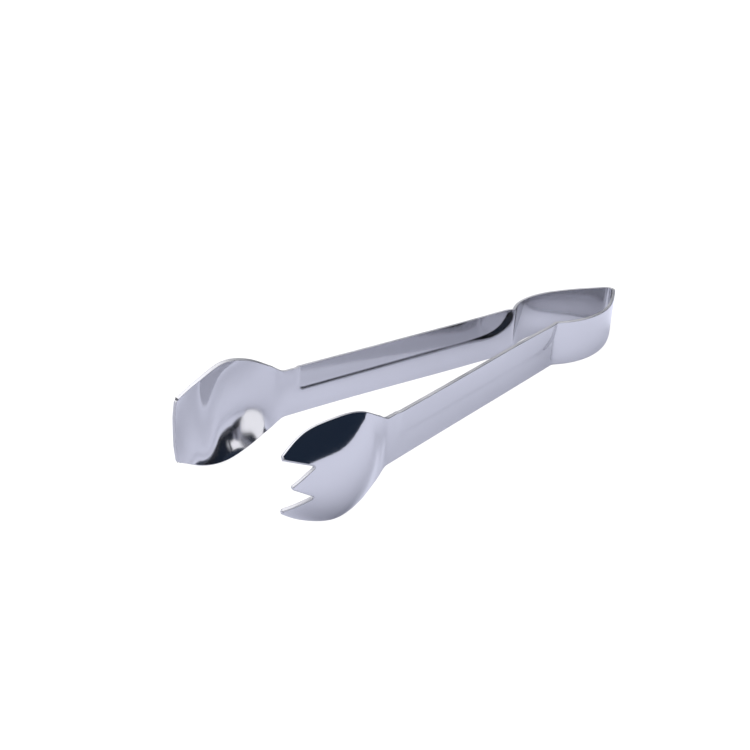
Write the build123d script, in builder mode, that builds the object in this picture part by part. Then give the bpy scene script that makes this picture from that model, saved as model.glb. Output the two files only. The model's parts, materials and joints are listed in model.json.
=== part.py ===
"""Sprung ice tongs: a spoon scoop and a fork scoop on two embossed strip arms,
joined by a leaf-shaped spring bow.

The tongs lie on the long edge of their strip, as they do on a table.
+X points along the tongs towards the bow, +Y towards the spoon arm, +Z up.
The origin is under the middle of the tongs, on the surface they rest on.
Every shape is drawn in the strip's own frame, whose x = 0 is the shoulder line
where the arms meet the bow. That frame is pitched by REST_PITCH, because the
scoops are deeper than the strip and lift their end of the tongs.
"""
from build123d import *
import os
from math import atan2, cos, degrees, radians, sin

os.makedirs("parts", exist_ok=True)

# ---- Driving dimensions: millimetres and degrees -------------------------------
STRIP_WIDTH = 16.0       # width of the steel strip, upright when the tongs lie down
SHEET = 1.2              # sheet thickness
ARM_LENGTH = 106.0       # shoulder to neck, along an arm
ARM_SPLAY = 7.0          # angle of each arm to the centre plane when relaxed
SHOULDER_GAP = 19.0      # between the two arms at the shoulders, mid-sheet

BOW_LENGTH = 53.5        # shoulder line to the bow's tip, mid-sheet
BOW_WIDTH = 29.0         # widest place of the bow, mid-sheet
BOW_WIDEST_AT = 20.0     # its distance from the shoulder line
SHOULDER_FLARE = 36.0    # angle at which the bow's walls leave the shoulders
TIP_CLOSING = 30.0       # angle at which the walls run into the tip
TIP_RADIUS = 2.5         # bend of the bow's tip, mid-sheet

PANEL_OFFSET = 1.0       # how far the embossed upper half stands outwards
PANEL_FROM_NECK = 5.0    # neck to the panel's square end
PANEL_TO_SHOULDER = 2.0  # panel's rounded end to the shoulder
PANEL_SMALL_CORNER = 2.0  # corner radius at the neck end

SCOOP_LENGTH = 43.0      # neck to the spoon's cut tip
SCOOP_WIDTH = 34.0       # widest place of the spoon scoop
FORK_WIDTH = 32.2        # widest place of the fork scoop
SCOOP_BULGE = 4.4        # how far the scoop's back stands outside the arm
SCOOP_DISH = 5.2         # depth of the hollow at the widest place
TIP_CURL = 4.8           # how far the tip curls in towards the other scoop
TIP_WIDTH = 19.6         # length of the spoon's straight cut edge

NOTCH_FROM_NECK = 32.8   # neck to the bottom of the fork's two notches
NOTCH_OFFSET = 4.8       # notch bottom to the centre line
TINE_FROM_NECK = 40.5    # neck to the tips of the outer tines
TINE_OFFSET = 7.6        # outer tine's tip to the centre line
MIDDLE_TINE = 40.3       # neck to the tip of the middle tine

# ---- Places worked out from them ------------------------------------------------
HALF_STRIP = STRIP_WIDTH / 2
SPLAY = radians(ARM_SPLAY)
SHOULDER = (0.0, SHOULDER_GAP / 2)
NECK = (-ARM_LENGTH * cos(SPLAY), SHOULDER[1] + ARM_LENGTH * sin(SPLAY))
WIDEST = (BOW_WIDEST_AT, BOW_WIDTH / 2)
TIP_CENTRE = BOW_LENGTH - TIP_RADIUS
CLOSING = radians(TIP_CLOSING)
WALL_END = (TIP_CENTRE + TIP_RADIUS * sin(CLOSING), TIP_RADIUS * cos(CLOSING))

WIDEST_STATION = 0.55    # share of the scoop's length where it is widest
RIM_SWELL = 0.045        # how far the smooth rim runs outside that station
LOW_POINT = NECK[0] - WIDEST_STATION * SCOOP_LENGTH * cos(SPLAY)
BOW_END = BOW_LENGTH + SHEET / 2
REST_PITCH = atan2((SCOOP_WIDTH - STRIP_WIDTH) / 2 + RIM_SWELL, BOW_END - LOW_POINT)

SCOOP_END = NECK[0] - SCOOP_LENGTH * cos(SPLAY) - (TIP_CURL + SHEET / 2) * sin(SPLAY)
LEAN = (HALF_STRIP - TIP_WIDTH / 2) * sin(REST_PITCH)
MIDDLE = ((BOW_END + SCOOP_END) * cos(REST_PITCH) + LEAN) / 2
LIFT = HALF_STRIP * cos(REST_PITCH) + BOW_END * sin(REST_PITCH)

LYING = Plane(
    origin=(-MIDDLE, 0, LIFT),
    x_dir=(cos(REST_PITCH), 0, -sin(REST_PITCH)),
    z_dir=(sin(REST_PITCH), 0, cos(REST_PITCH)),
)
SPOON_SIDE = 1
FORK_SIDE = -1


def in_strip_frame(x, y, z):
    """A point of the strip's frame as a point of the model."""
    return LYING.from_local_coords(Vector(x, y, z))


def strip_direction(x, y, z):
    """A direction of the strip's frame as a direction of the model."""
    return in_strip_frame(x, y, z) - in_strip_frame(0, 0, 0)


def arm_plane(side, out=0.0):
    """Plane on an arm: origin at the neck, x towards the bow, z outwards."""
    outward = (sin(SPLAY), side * cos(SPLAY))
    place = (NECK[0] + out * outward[0], side * NECK[1] + out * outward[1], 0)
    return Plane(
        origin=in_strip_frame(*place),
        x_dir=strip_direction(cos(SPLAY), -side * sin(SPLAY), 0),
        z_dir=strip_direction(outward[0], outward[1], 0),
    )


def scoop_plane(side, station):
    """Plane across a scoop at a distance from the neck: x outwards, y along the strip's width."""
    away = (-cos(SPLAY), side * sin(SPLAY))
    place = (NECK[0] + station * away[0], side * NECK[1] + station * away[1], 0)
    return Plane(
        origin=in_strip_frame(*place),
        x_dir=strip_direction(sin(SPLAY), side * cos(SPLAY), 0),
        z_dir=strip_direction(away[0], away[1], 0),
    )


def shoulder_plane(side):
    """Plane of the mitre where the arm meets the bow's wall, facing the bow."""
    mitre = radians(SHOULDER_FLARE - ARM_SPLAY) / 2
    return Plane(
        origin=in_strip_frame(SHOULDER[0], side * SHOULDER[1], 0),
        z_dir=strip_direction(cos(mitre), side * sin(mitre), 0),
    )


def half_strip(side, keep):
    """Arm and bow wall as one bent strip, cut at the shoulder's mitre."""
    with BuildPart() as strip:
        with BuildSketch(LYING.offset(-HALF_STRIP)):
            with BuildLine():
                Line((NECK[0], side * NECK[1]), (SHOULDER[0], side * SHOULDER[1]))
                Spline(
                    (SHOULDER[0], side * SHOULDER[1]),
                    (WIDEST[0], side * WIDEST[1]),
                    (WALL_END[0], side * WALL_END[1]),
                    tangents=[
                        (cos(radians(SHOULDER_FLARE)), side * sin(radians(SHOULDER_FLARE))),
                        (cos(CLOSING), -side * sin(CLOSING)),
                    ],
                )
            trace(line_width=SHEET)
        extrude(amount=STRIP_WIDTH)
        split(bisect_by=shoulder_plane(side), keep=keep)
    return strip.part


def panel_block(side, start_out, depth, grow):
    """Tapered block of the embossed panel's outline, grown by a margin all round."""
    upward = -side
    square_end = PANEL_FROM_NECK - grow
    round_end = ARM_LENGTH - PANEL_TO_SHOULDER + grow
    top = STRIP_WIDTH
    round_corner = HALF_STRIP + grow
    with BuildPart() as block:
        with BuildSketch(arm_plane(side, start_out)):
            with BuildLine():
                FilletPolyline(
                    (square_end, upward * top),
                    (square_end, -upward * grow),
                    (round_end, -upward * grow),
                    (round_end, upward * top),
                    radius=(PANEL_SMALL_CORNER, round_corner),
                )
                Line((round_end, upward * top), (square_end, upward * top))
            make_face()
        extrude(amount=depth, taper=45)
    return block.part


def embossed_arm(side):
    """Arm whose upper half is pressed outwards between the neck and the shoulder."""
    pad = panel_block(side, SHEET / 2, PANEL_OFFSET, PANEL_OFFSET * 0.8)
    recess = panel_block(side, -SHEET / 2, PANEL_OFFSET, PANEL_OFFSET * 0.4)
    with BuildPart() as arm:
        add(half_strip(side, Keep.BOTTOM))
        add(pad)
        add(recess, mode=Mode.SUBTRACT)
        split(bisect_by=LYING.offset(HALF_STRIP), keep=Keep.BOTTOM)
    return arm.part


# Stations along a scoop: share of its length, share of its width, outward place of
# the centre line, and how far the rim stands in from the centre line.
SPOON_STATIONS = [
    (0.13, 0.320, 0.30 * SCOOP_BULGE, 0.22 * SCOOP_DISH),
    (0.32, 0.440, 0.85 * SCOOP_BULGE, 0.75 * SCOOP_DISH),
    (WIDEST_STATION, 0.500, 0.85 * SCOOP_BULGE, SCOOP_DISH),
    (0.78, 0.427, -0.10 * TIP_CURL, 0.62 * SCOOP_DISH),
    (0.92, 0.340, -0.62 * TIP_CURL, 0.25 * SCOOP_DISH),
    (1.00, 0.500 * TIP_WIDTH / SCOOP_WIDTH, -TIP_CURL, 0.04 * SCOOP_DISH),
]
FORK_STATIONS = [
    (0.13, 0.330, 0.30 * SCOOP_BULGE, 0.22 * SCOOP_DISH),
    (0.32, 0.455, 0.85 * SCOOP_BULGE, 0.75 * SCOOP_DISH),
    (WIDEST_STATION, 0.500, 0.85 * SCOOP_BULGE, SCOOP_DISH),
    (0.78, 0.412, -0.10 * TIP_CURL, 0.96 * SCOOP_DISH),
    (0.92, 0.290, -0.62 * TIP_CURL, 0.65 * SCOOP_DISH),
    (1.00, 0.205, -TIP_CURL, 0.33 * SCOOP_DISH),
]


def scoop_shell(side, width, stations):
    """Dished shell that grows out of the arm's end."""
    with BuildPart() as shell:
        with BuildSketch(scoop_plane(side, 0.0)):
            Rectangle(SHEET, STRIP_WIDTH)
        for share, width_share, centre, dish in stations:
            half_width = width_share * width
            outer = centre + SHEET / 2
            inner = centre - SHEET / 2
            with BuildSketch(scoop_plane(side, share * SCOOP_LENGTH)):
                with BuildLine():
                    ThreePointArc((outer - dish, -half_width), (outer, 0), (outer - dish, half_width))
                    Line((outer - dish, half_width), (inner - dish, half_width))
                    ThreePointArc((inner - dish, half_width), (inner, 0), (inner - dish, -half_width))
                    Line((inner - dish, -half_width), (outer - dish, -half_width))
                make_face()
        loft()
    return shell.part


# ---- Bow ------------------------------------------------------------------------
with BuildPart() as bow_tip:
    with BuildSketch(LYING.offset(-HALF_STRIP)):
        with BuildLine():
            ThreePointArc(
                (WALL_END[0], WALL_END[1]),
                (BOW_LENGTH, 0),
                (WALL_END[0], -WALL_END[1]),
            )
        trace(line_width=SHEET)
    extrude(amount=STRIP_WIDTH)
bow_tip.part.label = "bow_tip"
export_step(bow_tip.part, "parts/bow_tip.step")

with BuildPart() as bow_wall_spoon:
    add(half_strip(SPOON_SIDE, Keep.TOP))
bow_wall_spoon.part.label = "bow_wall_spoon"
export_step(bow_wall_spoon.part, "parts/bow_wall_spoon.step")

with BuildPart() as bow_wall_fork:
    add(half_strip(FORK_SIDE, Keep.TOP))
bow_wall_fork.part.label = "bow_wall_fork"
export_step(bow_wall_fork.part, "parts/bow_wall_fork.step")

# ---- Arms -----------------------------------------------------------------------
with BuildPart() as spoon_arm:
    add(embossed_arm(SPOON_SIDE))
spoon_arm.part.label = "spoon_arm"
export_step(spoon_arm.part, "parts/spoon_arm.step")

with BuildPart() as fork_arm:
    add(embossed_arm(FORK_SIDE))
fork_arm.part.label = "fork_arm"
export_step(fork_arm.part, "parts/fork_arm.step")

# ---- Scoops ---------------------------------------------------------------------
with BuildPart() as spoon_scoop:
    add(scoop_shell(SPOON_SIDE, SCOOP_WIDTH, SPOON_STATIONS))
spoon_scoop.part.label = "spoon_scoop"
export_step(spoon_scoop.part, "parts/spoon_scoop.step")

CUT_DEPTH = 2 * SCOOP_WIDTH
with BuildPart() as fork_scoop:
    add(scoop_shell(FORK_SIDE, FORK_WIDTH, FORK_STATIONS))
    with BuildSketch(arm_plane(FORK_SIDE, -CUT_DEPTH / 2)):
        with BuildLine():
            Polyline(
                (-NOTCH_FROM_NECK, NOTCH_OFFSET),
                (-TINE_FROM_NECK, TINE_OFFSET),
                (-TINE_FROM_NECK, FORK_WIDTH),
                (-2 * SCOOP_LENGTH, FORK_WIDTH),
                (-2 * SCOOP_LENGTH, -FORK_WIDTH),
                (-TINE_FROM_NECK, -FORK_WIDTH),
                (-TINE_FROM_NECK, -TINE_OFFSET),
                (-NOTCH_FROM_NECK, -NOTCH_OFFSET),
                (-MIDDLE_TINE, 0),
                close=True,
            )
        make_face()
    extrude(amount=CUT_DEPTH, mode=Mode.SUBTRACT)
fork_scoop.part.label = "fork_scoop"
export_step(fork_scoop.part, "parts/fork_scoop.step")

for piece in (bow_tip, bow_wall_spoon, bow_wall_fork, spoon_arm, fork_arm, spoon_scoop, fork_scoop):
    box = piece.part.bounding_box()
    print(piece.part.label, "volume", round(piece.part.volume, 1), "solids", len(piece.part.solids()),
          "box", [round(v, 2) for v in (*box.min, *box.max)])
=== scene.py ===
"""Sprung ice tongs in mirror-polished steel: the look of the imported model.

Sizes are millimetres in the strip's own frame, as in the CAD source: x = 0 is the
shoulder line, +x runs to the bow's tip, +y to the spoon arm and +z up the strip.
to_world() turns that frame into the model's frame, in metres.
"""
import json
from functools import partial
from math import cos, pi, radians, sin

import bpy
import numpy as np
from mathutils import Matrix, Vector
from mathutils.geometry import delaunay_2d_cdt


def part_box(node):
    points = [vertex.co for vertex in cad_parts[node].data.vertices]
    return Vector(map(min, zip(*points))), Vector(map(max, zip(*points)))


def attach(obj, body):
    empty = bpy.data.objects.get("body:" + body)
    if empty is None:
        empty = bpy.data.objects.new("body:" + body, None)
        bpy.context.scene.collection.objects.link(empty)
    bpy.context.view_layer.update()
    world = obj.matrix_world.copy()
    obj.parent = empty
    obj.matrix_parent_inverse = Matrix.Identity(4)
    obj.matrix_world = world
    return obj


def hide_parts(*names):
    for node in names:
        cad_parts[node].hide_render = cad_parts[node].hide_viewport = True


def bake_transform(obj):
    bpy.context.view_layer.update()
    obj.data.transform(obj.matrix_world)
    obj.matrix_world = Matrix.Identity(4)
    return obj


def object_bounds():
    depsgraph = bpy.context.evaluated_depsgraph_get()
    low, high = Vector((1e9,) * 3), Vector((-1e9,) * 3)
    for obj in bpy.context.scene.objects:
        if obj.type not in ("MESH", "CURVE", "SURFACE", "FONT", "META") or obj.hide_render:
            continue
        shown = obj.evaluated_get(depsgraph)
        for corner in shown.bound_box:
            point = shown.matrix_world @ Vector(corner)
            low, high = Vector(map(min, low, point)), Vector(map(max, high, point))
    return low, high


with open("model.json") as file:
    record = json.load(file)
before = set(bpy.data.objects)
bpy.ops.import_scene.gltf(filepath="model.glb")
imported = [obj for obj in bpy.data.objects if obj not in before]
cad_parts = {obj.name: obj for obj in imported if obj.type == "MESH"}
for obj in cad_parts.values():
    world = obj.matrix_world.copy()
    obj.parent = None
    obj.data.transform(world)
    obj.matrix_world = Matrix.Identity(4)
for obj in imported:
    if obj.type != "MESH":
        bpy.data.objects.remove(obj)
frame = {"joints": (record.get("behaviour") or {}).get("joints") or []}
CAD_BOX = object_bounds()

MM = 0.001

# ---- The strip and its path, as in the CAD source ---------------------------------
STRIP_WIDTH = 16.0
SHEET = 1.2
ARM_LENGTH = 106.0
ARM_SPLAY = radians(7.0)
SHOULDER_GAP = 19.0
BOW_LENGTH = 53.5
BOW_WIDTH = 29.0
BOW_WIDEST_AT = 20.0
SHOULDER_FLARE = radians(36.0)
TIP_CLOSING = radians(30.0)
TIP_RADIUS = 2.5

# ---- Finish of the stamped sheet --------------------------------------------------
EDGE_ROLL = 0.45         # rounding of the cut edges on the outer side
EDGE_BURR = 0.12         # and on the inner side, where the punch left them crisp
SHOULDER_BEND = 4.0      # length of strip over which the shoulder bends
SLIGHT_BEND = 0.5        # the same for any corner away from the shoulder
SHOULDER_REACH = 14.0    # distance from the shoulder at which the bends are slight again
SPOON_SIDE = 1
FORK_SIDE = -1
# Shares by which each side's strip widens towards its shoulder, above and below the middle.
GROWTH_ABOVE = {SPOON_SIDE: 0.03, FORK_SIDE: 0.09}
GROWTH_BELOW = {SPOON_SIDE: 0.17, FORK_SIDE: 0.045}

# ---- Embossed panel on the upper half of an arm -------------------------------------
PANEL_START = 5.0        # neck to the panel's square end
PANEL_END = 105.0        # neck to the panel's rounded end
PANEL_SMALL_CORNER = 2.0
PANEL_ROUND = 8.0        # height of the rounded end
PANEL_ROUND_LENGTH = 14.0
PANEL_LEAN = 0.50        # how much further the panel's top edge stands out than its foot
PANEL_SHARE = {SPOON_SIDE: 1.0, FORK_SIDE: 0.5}  # how strongly each side's panel is pressed
# Stations along the panel: distance from the neck, depth, and width of the border's slope.
PANEL_STATIONS = (
    (0.0, 0.29, 2.5),
    (12.0, 0.27, 2.4),
    (35.0, 0.24, 2.3),
    (60.0, 0.21, 2.2),
    (84.0, 0.23, 2.2),
    (98.0, 0.65, 3.4),
    (110.0, 0.80, 3.6),
)

# ---- Scoops -----------------------------------------------------------------------
SCOOP_LENGTH = 43.0
SPOON_WIDTH = 34.0
FORK_WIDTH = 32.2
BULGE = 4.4
DISH = 5.2
TIP_CURL = 4.8
# Corners of the fork's cut: distance beyond the neck, and from the centre line.
NOTCH = (32.8, 4.7)
OUTER_TINE = (40.5, 7.6)
MIDDLE_TINE = (40.3, 0.0)
OUTER_TINE_ROUNDING = 0.25
NOTCH_ROUNDING = 0.35
MIDDLE_TINE_ROUNDING = 0.8
FORK_RIM_END = OUTER_TINE[0] - 0.3    # the rim's curve stops just short of the corner
SPOON_RIM_END = SCOOP_LENGTH - 0.6
SPOON_TIP = SCOOP_LENGTH + 0.05       # neck to the middle of the spoon's cut edge
SPOON_EDGE = 4.5         # half of the flat middle of that edge
SPOON_EDGE_ROUNDING = 12.0
SPOON_CORNER_ROUNDING = 1.5

# ---- Fineness of the meshes -----------------------------------------------------------
WALL_SPACING = 0.4
ARM_SPACING = 0.5
TIP_SPACING = 0.2
OUTLINE_SPACING = 0.45
SCOOP_SPACING = 0.6
LINES_ACROSS = 81        # lines across each face of a strip
LINES_AT_NECK = 41       # points across a scoop's neck
OUTLINE_POINTS = 90      # points along each side of a scoop's rim
BORDER_CLEARANCE = 0.4   # least distance from a scoop's inner points to its border

HALF_STRIP = STRIP_WIDTH / 2
HALF_SHEET = SHEET / 2
SHOULDER = np.array((0.0, SHOULDER_GAP / 2))
ARM_HEADING = np.array((cos(ARM_SPLAY), -sin(ARM_SPLAY)))
ARM_OUTWARD = np.array((sin(ARM_SPLAY), cos(ARM_SPLAY)))
NECK = SHOULDER - ARM_LENGTH * ARM_HEADING
TIP_CENTRE = BOW_LENGTH - TIP_RADIUS
WALL_END = np.array((TIP_CENTRE + TIP_RADIUS * sin(TIP_CLOSING), TIP_RADIUS * cos(TIP_CLOSING)))
LEAD_IN = 60.0           # how far the middle line runs on past the neck


# ---- Strip frame to world ---------------------------------------------------------
def strip_frame():
    """Origin and axes of the strip's frame in the world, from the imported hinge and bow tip."""
    hinge = next(j for j in frame["joints"] if j["name"] == "spoon_side_flex")
    up = np.array(hinge["axis"], float)
    up /= np.linalg.norm(up)
    along = np.array((up[2], 0.0, -up[0]))
    low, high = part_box("bow_tip")
    reach = (BOW_LENGTH + HALF_SHEET) * MM
    half = HALF_STRIP * MM
    origin = np.array((
        high.x - reach * along[0] - half * up[0],
        0.0,
        low.z - reach * along[2] + half * up[2],
    ))
    return origin, along, np.array((0.0, 1.0, 0.0)), up


ORIGIN, ALONG, ACROSS, UP = strip_frame()


def to_world(points, side):
    """Strip-frame points of the spoon side, in millimetres, as world points of either side."""
    p = np.asarray(points, float) * MM
    return ORIGIN + p[:, :1] * ALONG + side * p[:, 1:2] * ACROSS + p[:, 2:] * UP


def direction_to_world(vectors, side):
    """Strip-frame directions of the spoon side as world directions of either side."""
    v = np.asarray(vectors, float)
    return v[:, :1] * ALONG + side * v[:, 1:2] * ACROSS + v[:, 2:] * UP


# ---- Middle line of the strip, from the neck to the bow's tip ----------------------
def cubic(t, start, end, leaving, arriving):
    """Cubic from start to end, with its slopes at both, at the share t of the way."""
    return (
        (2 * t**3 - 3 * t**2 + 1) * start + (t**3 - 2 * t**2 + t) * leaving
        + (3 * t**2 - 2 * t**3) * end + (t**3 - t**2) * arriving
    )


def wall_curve(count=600):
    """Smooth curve of the bow's wall through the shoulder, the widest place and the tip's arc."""
    knots = np.array((SHOULDER, (BOW_WIDEST_AT, BOW_WIDTH / 2), WALL_END))
    first = np.array((cos(SHOULDER_FLARE), sin(SHOULDER_FLARE)))
    last = np.array((cos(TIP_CLOSING), -sin(TIP_CLOSING)))
    h0, h1 = np.linalg.norm(np.diff(knots, axis=0), axis=1)
    chords = 3 * (h1 * (knots[1] - knots[0]) / h0 + h0 * (knots[2] - knots[1]) / h1)
    middle = (chords - h1 * first - h0 * last) / (2 * (h0 + h1))
    t = np.linspace(0, 1, count)[:, None]
    to_widest = cubic(t, knots[0], knots[1], h0 * first, h0 * middle)
    to_end = cubic(t, knots[1], knots[2], h1 * middle, h1 * last)
    return np.vstack((to_widest, to_end[1:]))


def half_line():
    """Points of the sharp middle line and their distances from the neck."""
    turn = np.linspace(pi / 2 - TIP_CLOSING, -(pi / 2 - TIP_CLOSING), 200)
    arc = np.stack((TIP_CENTRE + TIP_RADIUS * np.cos(turn), TIP_RADIUS * np.sin(turn)), axis=1)
    wall = wall_curve()
    back = wall[::-1] * (1, -1)
    before = NECK - LEAD_IN * ARM_HEADING
    line = np.vstack(([before], wall, arc[1:], back[1:]))
    steps = np.linalg.norm(np.diff(line, axis=0), axis=1)
    at = np.concatenate(([0.0], np.cumsum(steps))) - LEAD_IN
    return line, at


LINE, LINE_AT = half_line()
WALL_LENGTH = np.linalg.norm(np.diff(wall_curve(), axis=0), axis=1).sum()
TIP_ARC = TIP_RADIUS * (pi - 2 * TIP_CLOSING)
TIP_STARTS = ARM_LENGTH + WALL_LENGTH


def smooth_step(x):
    """0 up to x = 0 and 1 from x = 1, with no crease between."""
    x = np.clip(x, 0, 1)
    return x * x * x * (x * (6 * x - 15) + 10)


def smooth_through(x, knots, values, level_start=False):
    """Smooth curve through the values at the knots, which holds its end values beyond them."""
    knots = np.asarray(knots, float)
    values = np.asarray(values, float)
    slopes = np.gradient(values, knots)
    if level_start:
        slopes[0] = 0
    i = np.clip(np.searchsorted(knots, x) - 1, 0, len(knots) - 2)
    h = knots[i + 1] - knots[i]
    t = np.clip((x - knots[i]) / h, 0, 1)
    return cubic(t, values[i], values[i + 1], h * slopes[i], h * slopes[i + 1])


def middle_line(s):
    """Middle line of the sheet at distances s from the neck, with the shoulder's bend rounded."""
    near = np.clip(1 - np.abs(s - ARM_LENGTH) / SHOULDER_REACH, 0, 1)
    width = SLIGHT_BEND + (SHOULDER_BEND - SLIGHT_BEND) * smooth_step(near * 2)
    taps = np.linspace(-0.5, 0.5, 21)
    weights = np.cos(taps * pi) + 0.05
    weights /= weights.sum()
    out = np.zeros((len(s), 2))
    for tap, weight in zip(taps, weights):
        at = s + tap * width
        out[:, 0] += weight * np.interp(at, LINE_AT, LINE[:, 0])
        out[:, 1] += weight * np.interp(at, LINE_AT, LINE[:, 1])
    return out


def panel_rise(s, z):
    """How far the embossed upper half stands outwards at a distance s from the neck and a height z."""
    inside = np.minimum(np.minimum(s - PANEL_START, PANEL_END - s), z)
    r = PANEL_SMALL_CORNER
    corner = (s < PANEL_START + r) & (z < r)
    inside = np.where(corner, r - np.hypot(PANEL_START + r - s, r - z), inside)
    r = PANEL_ROUND
    beyond = (s - PANEL_END + PANEL_ROUND_LENGTH) * PANEL_ROUND / PANEL_ROUND_LENGTH
    inside = np.where(beyond > 0, r - np.hypot(beyond, np.minimum(r - z, 2 * r)), inside)
    places, depths, slopes = zip(*PANEL_STATIONS)
    depth = smooth_through(s, places, depths)
    slope = smooth_through(s, places, slopes)
    lean = PANEL_LEAN * np.clip(z / HALF_STRIP, 0, None)
    return (depth + lean) * smooth_step(0.5 + inside / slope)


def strip_middle(side, s, z):
    """Middle surface of one side's arm and half bow, at a distance s from the neck and a height z."""
    line = middle_line(s)
    step = 0.02
    heading = middle_line(s + step) - middle_line(s - step)
    heading /= np.linalg.norm(heading, axis=1)[:, None]
    outward = np.stack((-heading[:, 1], heading[:, 0]), axis=1)
    flat = line + PANEL_SHARE[side] * panel_rise(s, z)[:, None] * outward
    to_shoulder = smooth_step(s / ARM_LENGTH)
    to_tip = smooth_step((s - ARM_LENGTH) / WALL_LENGTH)
    growth = np.where(z > 0, GROWTH_ABOVE[side], GROWTH_BELOW[side]) * (to_shoulder - to_tip)
    return np.column_stack((flat, z * (1 + growth)))


# ---- Scoops' middle surface ----------------------------------------------------------
# Stations along a scoop: share of its length, half width as a share of its width, outward
# place of the centre line, and how far the rim stands in from the centre line.
SPOON_STATIONS = (
    (0.00, 0.5 * STRIP_WIDTH / SPOON_WIDTH, 0.0, 0.0),
    (0.13, 0.320, 0.30 * BULGE, 0.22 * DISH),
    (0.32, 0.440, 0.85 * BULGE, 0.75 * DISH),
    (0.55, 0.500, 0.85 * BULGE, DISH),
    (0.78, 0.427, -0.10 * TIP_CURL, 0.62 * DISH),
    (0.92, 0.340, -0.62 * TIP_CURL, 0.25 * DISH),
    (1.00, 0.288, -TIP_CURL, 0.04 * DISH),
    (1.06, 0.250, -1.25 * TIP_CURL, 0.02 * DISH),
)
FORK_STATIONS = (
    (0.00, 0.5 * STRIP_WIDTH / FORK_WIDTH, 0.0, 0.0),
    (0.13, 0.330, 0.30 * BULGE, 0.22 * DISH),
    (0.32, 0.455, 0.85 * BULGE, 0.75 * DISH),
    (0.55, 0.500, 0.85 * BULGE, DISH),
    (0.78, 0.412, -0.10 * TIP_CURL, 0.96 * DISH),
    (0.92, 0.290, -0.62 * TIP_CURL, 0.65 * DISH),
    (1.00, 0.205, -TIP_CURL, 0.33 * DISH),
    (1.06, 0.140, -1.25 * TIP_CURL, 0.18 * DISH),
)


class Scoop:
    """Outline and middle surface of one scoop, at a distance t beyond the neck and v across it."""

    def __init__(self, width, stations):
        shares, widths, centres, dishes = np.array(stations).T
        self.places = shares * SCOOP_LENGTH
        self.half_widths = widths * width
        self.centres = centres
        self.dishes = dishes

    def half_width(self, t):
        """Centre line to the rim."""
        return smooth_through(t, self.places, self.half_widths, level_start=True)

    def middle(self, t, v):
        """Middle surface: a round arc across the scoop at every place along it."""
        width = self.half_width(t)
        dish = np.maximum(smooth_through(t, self.places, self.dishes, level_start=True), 1e-4)
        radius = (width**2 + dish**2) / (2 * dish)
        drop = radius - np.sqrt(np.maximum(radius**2 - v**2, 0))
        out = smooth_through(t, self.places, self.centres, level_start=True) - drop
        flat = NECK - t[:, None] * ARM_HEADING + out[:, None] * ARM_OUTWARD
        return np.column_stack((flat, v))


def surface_normals(surface, hand, a, b):
    """Outward unit normals of a middle surface; hand is the sign of its two directions' cross product."""
    step = 0.04
    along = surface(a + step, b) - surface(a - step, b)
    up = surface(a, b + step) - surface(a, b - step)
    n = hand * np.cross(along, up)
    return n / np.linalg.norm(n, axis=1)[:, None]


# ---- Meshes ----------------------------------------------------------------------------
def edge_profile():
    """Steps round a cut edge from the outer face to the inner, each with its place and normal.

    A place is a reach past the outer face's border and a height out of the middle surface.
    """
    steps = []
    for angle in np.linspace(pi / 2, 0, 7)[1:]:
        reach = EDGE_ROLL * cos(angle)
        height = HALF_SHEET - EDGE_ROLL * (1 - sin(angle))
        steps.append((reach, height, cos(angle), sin(angle)))
    for angle in np.linspace(0, -pi / 2, 5):
        reach = EDGE_ROLL - EDGE_BURR * (1 - cos(angle))
        height = -HALF_SHEET + EDGE_BURR * (1 + sin(angle))
        steps.append((reach, height, cos(angle), sin(angle)))
    return steps


def make_piece(name, points, normals, faces, face_slots, side):
    """Mesh object in world coordinates with its own shading normals."""
    world = to_world(points, side)
    turned = direction_to_world(normals, side)
    if side == FORK_SIDE:
        faces = [tuple(reversed(f)) for f in faces]
    mesh = bpy.data.meshes.new(name)
    mesh.from_pydata([tuple(p) for p in world], [], faces)
    for material in (steel_face, steel_edge):
        mesh.materials.append(material)
    mesh.polygons.foreach_set("material_index", face_slots)
    mesh.polygons.foreach_set("use_smooth", [True] * len(faces))
    mesh.validate()
    mesh.normals_split_custom_set_from_vertices([tuple(n) for n in turned])
    piece = bpy.data.objects.new(name, mesh)
    bpy.context.scene.collection.objects.link(piece)
    return piece


def strip_piece(name, side, starts, ends, spacing):
    """Length of strip between two distances from the neck, with rounded long edges."""
    stations = np.linspace(starts, ends, int(round((ends - starts) / spacing)) + 1)
    heights = np.linspace(-HALF_STRIP + EDGE_ROLL, HALF_STRIP - EDGE_ROLL, LINES_ACROSS)
    profile = edge_profile()
    lines = [(z, 0.0, HALF_SHEET, 0.0, 1.0, 0) for z in heights]
    lines += [(heights[-1], *step, 1) for step in profile]
    lines += [(z, 0.0, -HALF_SHEET, 0.0, -1.0, 0) for z in heights[::-1]]
    lines += [(heights[0], -reach, height, -n_out, n_up, 1) for reach, height, n_out, n_up in profile[::-1]]
    points = []
    normals = []
    for line in lines:
        place, normal = strip_line(partial(strip_middle, side), stations, *line[:-1])
        points.append(place)
        normals.append(normal)
    count = len(stations)
    faces = []
    face_slots = []
    for row, line in enumerate(lines):
        after = (row + 1) % len(lines)
        for i in range(count - 1):
            a = row * count + i
            b = after * count + i
            faces.append((a, b, b + 1, a + 1))
            face_slots.append(1 if line[-1] and lines[after][-1] else 0)
    return make_piece(name, np.vstack(points), np.vstack(normals), faces, face_slots, side)


def strip_line(surface, stations, z, reach, height, n_out, n_up):
    """Points and normals of one long line of a strip."""
    level = np.full(len(stations), z)
    base = surface(stations, level)
    n = surface_normals(surface, -1, stations, level)
    edge = np.tile((0.0, 0.0, 1.0), (len(stations), 1))
    edge -= (edge * n).sum(axis=1)[:, None] * n
    edge /= np.linalg.norm(edge, axis=1)[:, None]
    return base + edge * reach + n * height, n * n_up + edge * n_out


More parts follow.
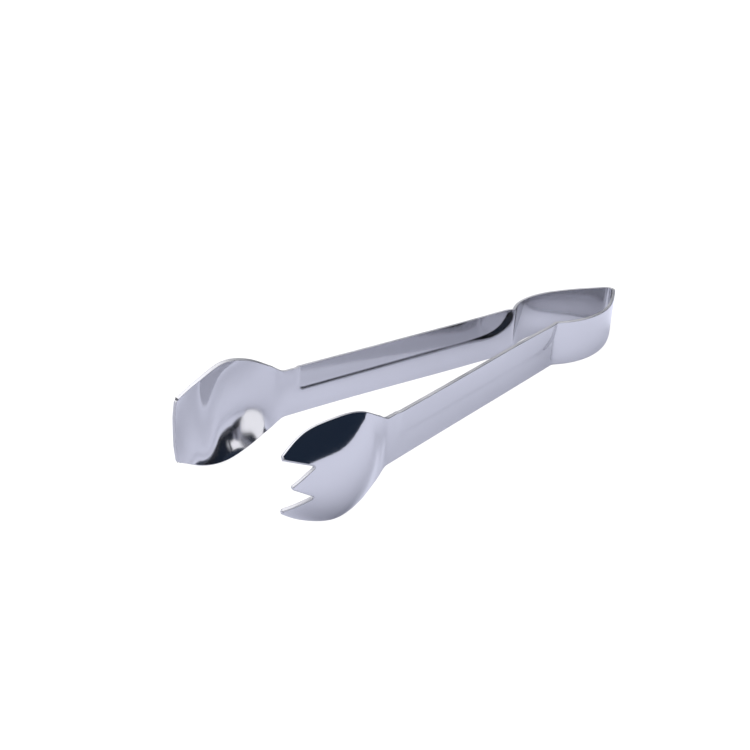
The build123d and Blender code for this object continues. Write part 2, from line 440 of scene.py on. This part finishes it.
def along_segments(corners, spacing):
    """Points along a polyline, evenly spaced on each segment, without its last corner."""
    out = []
    for a, b in zip(corners[:-1], corners[1:]):
        a = np.array(a, float)
        b = np.array(b, float)
        count = max(1, int(round(np.linalg.norm(b - a) / spacing)))
        for i in range(count):
            out.append(a + (b - a) * i / count)
    return out


def rounded(corners, radii, spacing):
    """Open polyline whose inner corners are rounded."""
    out = [np.array(corners[0], float)]
    for before, corner, after, radius in zip(corners[:-2], corners[1:-1], corners[2:], radii):
        corner = np.array(corner, float)
        u = np.array(before, float) - corner
        w = np.array(after, float) - corner
        u /= np.linalg.norm(u)
        w /= np.linalg.norm(w)
        half = np.arccos(np.clip(u @ w, -1, 1)) / 2
        if radius <= 0 or half > 1.5:
            out.append(corner)
            continue
        reach = radius / np.tan(half)
        centre = corner + (u + w) / np.linalg.norm(u + w) * radius / np.sin(half)
        a = corner + u * reach - centre
        b = corner + w * reach - centre
        turn = np.arctan2(a[0] * b[1] - a[1] * b[0], a @ b)
        for i in range(7):
            c, s = cos(turn * i / 6), sin(turn * i / 6)
            out.append(centre + (a[0] * c - a[1] * s, a[0] * s + a[1] * c))
    out.append(np.array(corners[-1], float))
    dense = along_segments(out, spacing)
    dense.append(out[-1])
    return np.array(dense)


def spoon_outline(scoop):
    """Spoon's outline from one corner of the neck round the cut tip to the other."""
    t = np.linspace(0, SPOON_RIM_END, OUTLINE_POINTS)
    upper = list(zip(t, scoop.half_width(t)))
    tip = [(SPOON_TIP, SPOON_EDGE), (SPOON_TIP, -SPOON_EDGE)]
    corners = upper + tip + [(t, -v) for t, v in upper[::-1]]
    radii = [0.0] * (len(corners) - 2)
    radii[len(upper) - 2] = radii[len(upper) + 1] = SPOON_CORNER_ROUNDING
    radii[len(upper) - 1] = radii[len(upper)] = SPOON_EDGE_ROUNDING
    return rounded(corners, radii, OUTLINE_SPACING)


def fork_outline(scoop):
    """Fork's outline from one corner of the neck round its three tines to the other."""
    t = np.linspace(0, FORK_RIM_END, OUTLINE_POINTS)
    upper = list(zip(t, scoop.half_width(t)))
    half = [OUTER_TINE, NOTCH]
    tines = half + [MIDDLE_TINE] + [(t, -v) for t, v in half[::-1]]
    corners = upper + tines + [(t, -v) for t, v in upper[::-1]]
    roundings = [OUTER_TINE_ROUNDING, NOTCH_ROUNDING]
    radii = [0.0] * (len(corners) - 2)
    first = len(upper) - 1
    radii[first:first + len(tines)] = roundings + [MIDDLE_TINE_ROUNDING] + roundings[::-1]
    return rounded(corners, radii, OUTLINE_SPACING)


def inner_border(outline):
    """Outline without its rolled edge; its first and last points stay on the neck."""
    heading = np.gradient(outline, axis=0)
    heading /= np.linalg.norm(heading, axis=1)[:, None]
    inward = np.stack((heading[:, 1], -heading[:, 0]), axis=1)
    inset = outline + inward * EDGE_ROLL
    inset[0] = (0.0, HALF_STRIP - EDGE_ROLL)
    inset[-1] = (0.0, -HALF_STRIP + EDGE_ROLL)
    return inset


def fill(inset):
    """Flat points and triangles inside a scoop's inner border, which come first in its order."""
    neck = np.linspace(-HALF_STRIP + EDGE_ROLL, HALF_STRIP - EDGE_ROLL, LINES_AT_NECK)[1:-1]
    border = np.vstack((inset, np.column_stack((np.zeros(len(neck)), neck))))
    across = np.arange(-SPOON_WIDTH / 2, SPOON_WIDTH / 2 + SCOOP_SPACING, SCOOP_SPACING)
    along = np.arange(SCOOP_SPACING, SCOOP_LENGTH, SCOOP_SPACING)
    grid = np.array([(t, v) for t in along for v in across])
    distance = np.min(np.linalg.norm(grid[:, None] - border[None], axis=2), axis=1)
    kept = grid[(distance > BORDER_CLEARANCE) & inside_polygon(grid, border)]
    flat = [Vector(p) for p in np.vstack((border, kept))]
    loop = [(i, (i + 1) % len(border)) for i in range(len(border))]
    verts, _, triangles, _, _, _ = delaunay_2d_cdt(flat, loop, [list(range(len(border)))], 1, 1e-5)
    return np.array([tuple(v) for v in verts]), triangles


def scoop_piece(name, side, scoop, outline):
    """Dished shell over an outline whose first and last points are the neck's corners."""
    inset = inner_border(outline)
    flat, triangles = fill(inset)
    base = scoop.middle(flat[:, 0], flat[:, 1])
    n = surface_normals(scoop.middle, 1, flat[:, 0], flat[:, 1])
    total = len(flat)
    points = [base + n * HALF_SHEET, base - n * HALF_SHEET]
    normals = [n, -n]
    faces = []
    for triangle in triangles:
        a, b, c = [flat[i] for i in triangle]
        turn = (b[0] - a[0]) * (c[1] - a[1]) - (b[1] - a[1]) * (c[0] - a[0])
        triangle = tuple(triangle) if turn > 0 else tuple(reversed(triangle))
        faces.append(triangle)
        faces.append(tuple(i + total for i in reversed(triangle)))
    face_slots = [0] * len(faces)

    rim = len(inset)
    rim_base = base[:rim]
    rim_n = n[:rim]
    tangent = np.gradient(rim_base, axis=0)
    tangent /= np.linalg.norm(tangent, axis=1)[:, None]
    outward = np.cross(rim_n, tangent)
    outward /= np.linalg.norm(outward, axis=1)[:, None]
    outward[0] = (0, 0, 1)
    outward[-1] = (0, 0, -1)
    rings = [np.arange(rim)]
    for reach, height, n_out, n_up in edge_profile():
        rings.append(np.arange(rim) + sum(len(p) for p in points))
        points.append(rim_base + outward * reach + rim_n * height)
        normals.append(outward * n_out + rim_n * n_up)
    rings.append(np.arange(rim) + total)
    for outer, inner in zip(rings[:-1], rings[1:]):
        for i in range(rim - 1):
            faces.append((int(outer[i]), int(outer[i + 1]), int(inner[i + 1]), int(inner[i])))
            face_slots.append(0 if inner is rings[-1] else 1)
    return make_piece(name, np.vstack(points), np.vstack(normals), faces, face_slots, side)


def inside_polygon(points, polygon):
    """Which points lie inside a closed polygon."""
    inside = np.zeros(len(points), bool)
    for a, b in zip(polygon, np.roll(polygon, -1, axis=0)):
        crosses = (a[1] > points[:, 1]) != (b[1] > points[:, 1])
        rise = b[1] - a[1] if b[1] != a[1] else 1e-9
        inside ^= crosses & (points[:, 0] < (b[0] - a[0]) * (points[:, 1] - a[1]) / rise + a[0])
    return inside


# ---- Materials -------------------------------------------------------------------------
def link(tree, source, output, target, socket):
    """Link an output of one node to a socket of another, each by name or number."""
    tree.links.new(source.outputs[output], target.inputs[socket])


def add_node(tree, kind, **sockets):
    """New node with constants set on its sockets."""
    node = tree.nodes.new(kind)
    for key, value in sockets.items():
        node.inputs[key].default_value = value
    return node


def seen_or_reflected(tree, seen, reflected, out):
    """Show the camera one shader, and light and reflections another."""
    path = tree.nodes.new("ShaderNodeLightPath")
    mix = tree.nodes.new("ShaderNodeMixShader")
    link(tree, path, "Is Camera Ray", mix, 0)
    link(tree, reflected, 0, mix, 1)
    link(tree, seen, 0, mix, 2)
    link(tree, mix, 0, out, "Surface")


def steel(name, base, roughness, polish_marks):
    """Polished steel: faint smudges and hairline polishing marks along the strip."""
    material = bpy.data.materials.new(name)
    material.use_nodes = True
    tree = material.node_tree
    shader = tree.nodes["Principled BSDF"]
    shader.inputs["Metallic"].default_value = 1.0
    shader.inputs["Specular Tint"].default_value = (1.0, 1.0, 1.0, 1.0)
    place = tree.nodes.new("ShaderNodeTexCoord")

    smudge = add_node(tree, "ShaderNodeTexNoise", Scale=55.0, Detail=3.0, Roughness=0.55)
    link(tree, place, "Object", smudge, "Vector")
    film = tree.nodes.new("ShaderNodeMapRange")
    film.inputs["From Min"].default_value = 0.35
    film.inputs["From Max"].default_value = 0.75
    film.inputs["To Min"].default_value = roughness
    film.inputs["To Max"].default_value = roughness * 1.7
    link(tree, smudge, "Fac", film, "Value")
    link(tree, film, "Result", shader, "Roughness")

    tone = tree.nodes.new("ShaderNodeMix")
    tone.data_type = "RGBA"
    tone.inputs["A"].default_value = (*base, 1.0)
    tone.inputs["B"].default_value = (*[c * 0.96 for c in base], 1.0)
    link(tree, smudge, "Fac", tone, "Factor")
    link(tree, tone, "Result", shader, "Base Color")

    stretch = tree.nodes.new("ShaderNodeMapping")
    stretch.inputs["Scale"].default_value = polish_marks
    link(tree, place, "Object", stretch, "Vector")
    hair = add_node(tree, "ShaderNodeTexNoise", Scale=1.0, Detail=2.0)
    link(tree, stretch, "Vector", hair, "Vector")
    bump = add_node(tree, "ShaderNodeBump", Strength=0.012, Distance=0.0002)
    link(tree, hair, "Fac", bump, "Height")
    link(tree, bump, "Normal", shader, "Normal")
    return material


steel_face = steel("polished_steel_face", (0.62, 0.62, 0.635), 0.07, (120.0, 900.0, 4000.0))
steel_edge = steel("cut_steel_edge", (0.58, 0.58, 0.60), 0.45, (300.0, 300.0, 3000.0))


# ---- Pieces ------------------------------------------------------------------------------
def build_side(side, end, body, scoop, outline):
    """Bow wall, arm and scoop of one side."""
    wall = strip_piece(f"bow_wall_{end}_sheet", side, ARM_LENGTH, TIP_STARTS, WALL_SPACING)
    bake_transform(wall)
    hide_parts(f"bow_wall_{end}")

    arm = strip_piece(f"{end}_arm_sheet", side, 0.0, ARM_LENGTH, ARM_SPACING)
    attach(arm, body)
    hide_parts(f"{end}_arm")

    shell = scoop_piece(f"{end}_scoop_sheet", side, scoop, outline(scoop))
    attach(shell, body)
    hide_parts(f"{end}_scoop")


build_side(SPOON_SIDE, "spoon", "spoon_side", Scoop(SPOON_WIDTH, SPOON_STATIONS), spoon_outline)
build_side(FORK_SIDE, "fork", "fork_side", Scoop(FORK_WIDTH, FORK_STATIONS), fork_outline)

tip = strip_piece("bow_tip_sheet", SPOON_SIDE, TIP_STARTS, TIP_STARTS + TIP_ARC, TIP_SPACING)
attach(tip, "root")
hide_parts("bow_tip")


# ---- Floor, light and camera --------------------------------------------------------------
FLOOR_COLOUR = (0.70, 0.715, 0.825, 1.0)   # as the steel reflects it
ROOM_COLOUR = (0.018, 0.029, 0.053, 1.0)
LAMP_COLOUR = (2.1, 2.1, 2.15, 1.0)
# Heights and turns of a view direction, as sines and cosines, between which a lamp fades in.
CEILING_FADE = (0.66, 0.72)
WINDOW_TOWARDS = (-0.62, 0.78, 0.0)
WINDOW_FADE = (0.45, 0.60)
SILL_FADE = (0.22, 0.28)

VIEW_HEADING = radians(46.893)
VIEW_DIP = radians(25.464)
VIEW_ROLL = radians(-0.866)
# Strip frame's origin to the camera: right, up and forward in the view, in strip widths.
VIEW_OFFSET = (-3.7014, -0.9641, -24.4748)
SENSOR_WIDTH = 36.0      # millimetres, like the lens
LENS = 49.8048


def floor_material():
    """Pale floor: the light washes it out to white, but for a faint contact shadow."""
    material = bpy.data.materials.new("pale_floor")
    material.use_nodes = True
    tree = material.node_tree
    tree.nodes.clear()
    out = tree.nodes.new("ShaderNodeOutputMaterial")
    board = add_node(tree, "ShaderNodeBsdfDiffuse", Color=FLOOR_COLOUR)
    washed = add_node(tree, "ShaderNodeEmission", Color=(1.0, 1.0, 1.0, 1.0), Strength=0.95)
    shade = add_node(tree, "ShaderNodeBsdfDiffuse", Color=(0.12, 0.12, 0.12, 1.0))
    seen = tree.nodes.new("ShaderNodeAddShader")
    link(tree, washed, 0, seen, 0)
    link(tree, shade, 0, seen, 1)
    seen_or_reflected(tree, seen, board, out)
    return material


def make_floor(half=6.0):
    """Square floor just under the tongs."""
    mesh = bpy.data.meshes.new("floor")
    corners = [(-half, -half, 0), (half, -half, 0), (half, half, 0), (-half, half, 0)]
    mesh.from_pydata(corners, [], [(0, 1, 2, 3)])
    mesh.materials.append(floor_material())
    floor = bpy.data.objects.new("floor", mesh)
    floor.location = (0, 0, CAD_BOX[0].z - 0.0001)
    bpy.context.scene.collection.objects.link(floor)


def soft_edge(tree, value, low, high):
    """Output that rises smoothly from 0 to 1 as value goes from low to high."""
    edge = tree.nodes.new("ShaderNodeMapRange")
    edge.interpolation_type = "SMOOTHSTEP"
    edge.inputs["From Min"].default_value = low
    edge.inputs["From Max"].default_value = high
    tree.links.new(value, edge.inputs["Value"])
    return edge.outputs["Result"]


def combine(tree, operation, first, second):
    """Output of a two-input math node."""
    node = tree.nodes.new("ShaderNodeMath")
    node.operation = operation
    tree.links.new(first, node.inputs[0])
    tree.links.new(second, node.inputs[1])
    return node.outputs[0]


def studio_world():
    """Dark studio with a soft ceiling and window, seen only in reflections, and a white backdrop."""
    world = bpy.data.worlds.new("studio")
    bpy.context.scene.world = world
    world.use_nodes = True
    tree = world.node_tree
    tree.nodes.clear()
    out = tree.nodes.new("ShaderNodeOutputWorld")
    place = tree.nodes.new("ShaderNodeTexCoord")
    split = tree.nodes.new("ShaderNodeSeparateXYZ")
    link(tree, place, "Generated", split, "Vector")
    window_side = tree.nodes.new("ShaderNodeVectorMath")
    window_side.operation = "DOT_PRODUCT"
    window_side.inputs[1].default_value = WINDOW_TOWARDS
    link(tree, place, "Generated", window_side, 0)
    ceiling = soft_edge(tree, split.outputs["Z"], *CEILING_FADE)
    beside = soft_edge(tree, window_side.outputs["Value"], *WINDOW_FADE)
    above_sill = soft_edge(tree, split.outputs["Z"], *SILL_FADE)
    window = combine(tree, "MULTIPLY", beside, above_sill)
    shade = tree.nodes.new("ShaderNodeMix")
    shade.data_type = "RGBA"
    shade.inputs["A"].default_value = ROOM_COLOUR
    shade.inputs["B"].default_value = LAMP_COLOUR
    tree.links.new(combine(tree, "MAXIMUM", ceiling, window), shade.inputs["Factor"])
    room = add_node(tree, "ShaderNodeBackground", Strength=1.0)
    link(tree, shade, "Result", room, "Color")
    backdrop = add_node(tree, "ShaderNodeBackground", Color=(1.0, 1.0, 1.0, 1.0), Strength=1.05)
    seen_or_reflected(tree, backdrop, room, out)


def make_camera():
    """Camera at the photograph's angle, placed by its heading, dip and roll."""
    right = Vector((cos(VIEW_HEADING), -sin(VIEW_HEADING), 0))
    ahead = Vector((sin(VIEW_HEADING), cos(VIEW_HEADING), 0))
    upright = Vector((0, 0, 1))
    up = sin(VIEW_DIP) * ahead + cos(VIEW_DIP) * upright
    forward = cos(VIEW_DIP) * ahead - sin(VIEW_DIP) * upright
    offset = VIEW_OFFSET[0] * right + VIEW_OFFSET[1] * up + VIEW_OFFSET[2] * forward
    place = Vector(ORIGIN) + STRIP_WIDTH * MM * offset
    rolled_right = cos(VIEW_ROLL) * right - sin(VIEW_ROLL) * up
    rolled_up = sin(VIEW_ROLL) * right + cos(VIEW_ROLL) * up
    data = bpy.data.cameras.new("camera")
    data.sensor_width = SENSOR_WIDTH
    data.lens = LENS
    data.clip_start = 0.01
    camera = bpy.data.objects.new("camera", data)
    turn = Matrix((rolled_right, rolled_up, -forward)).transposed()
    camera.matrix_world = Matrix.Translation(place) @ turn.to_4x4()
    bpy.context.scene.collection.objects.link(camera)
    bpy.context.scene.camera = camera


make_floor()
studio_world()
make_camera()
bpy.context.scene.view_settings.view_transform = "Standard"
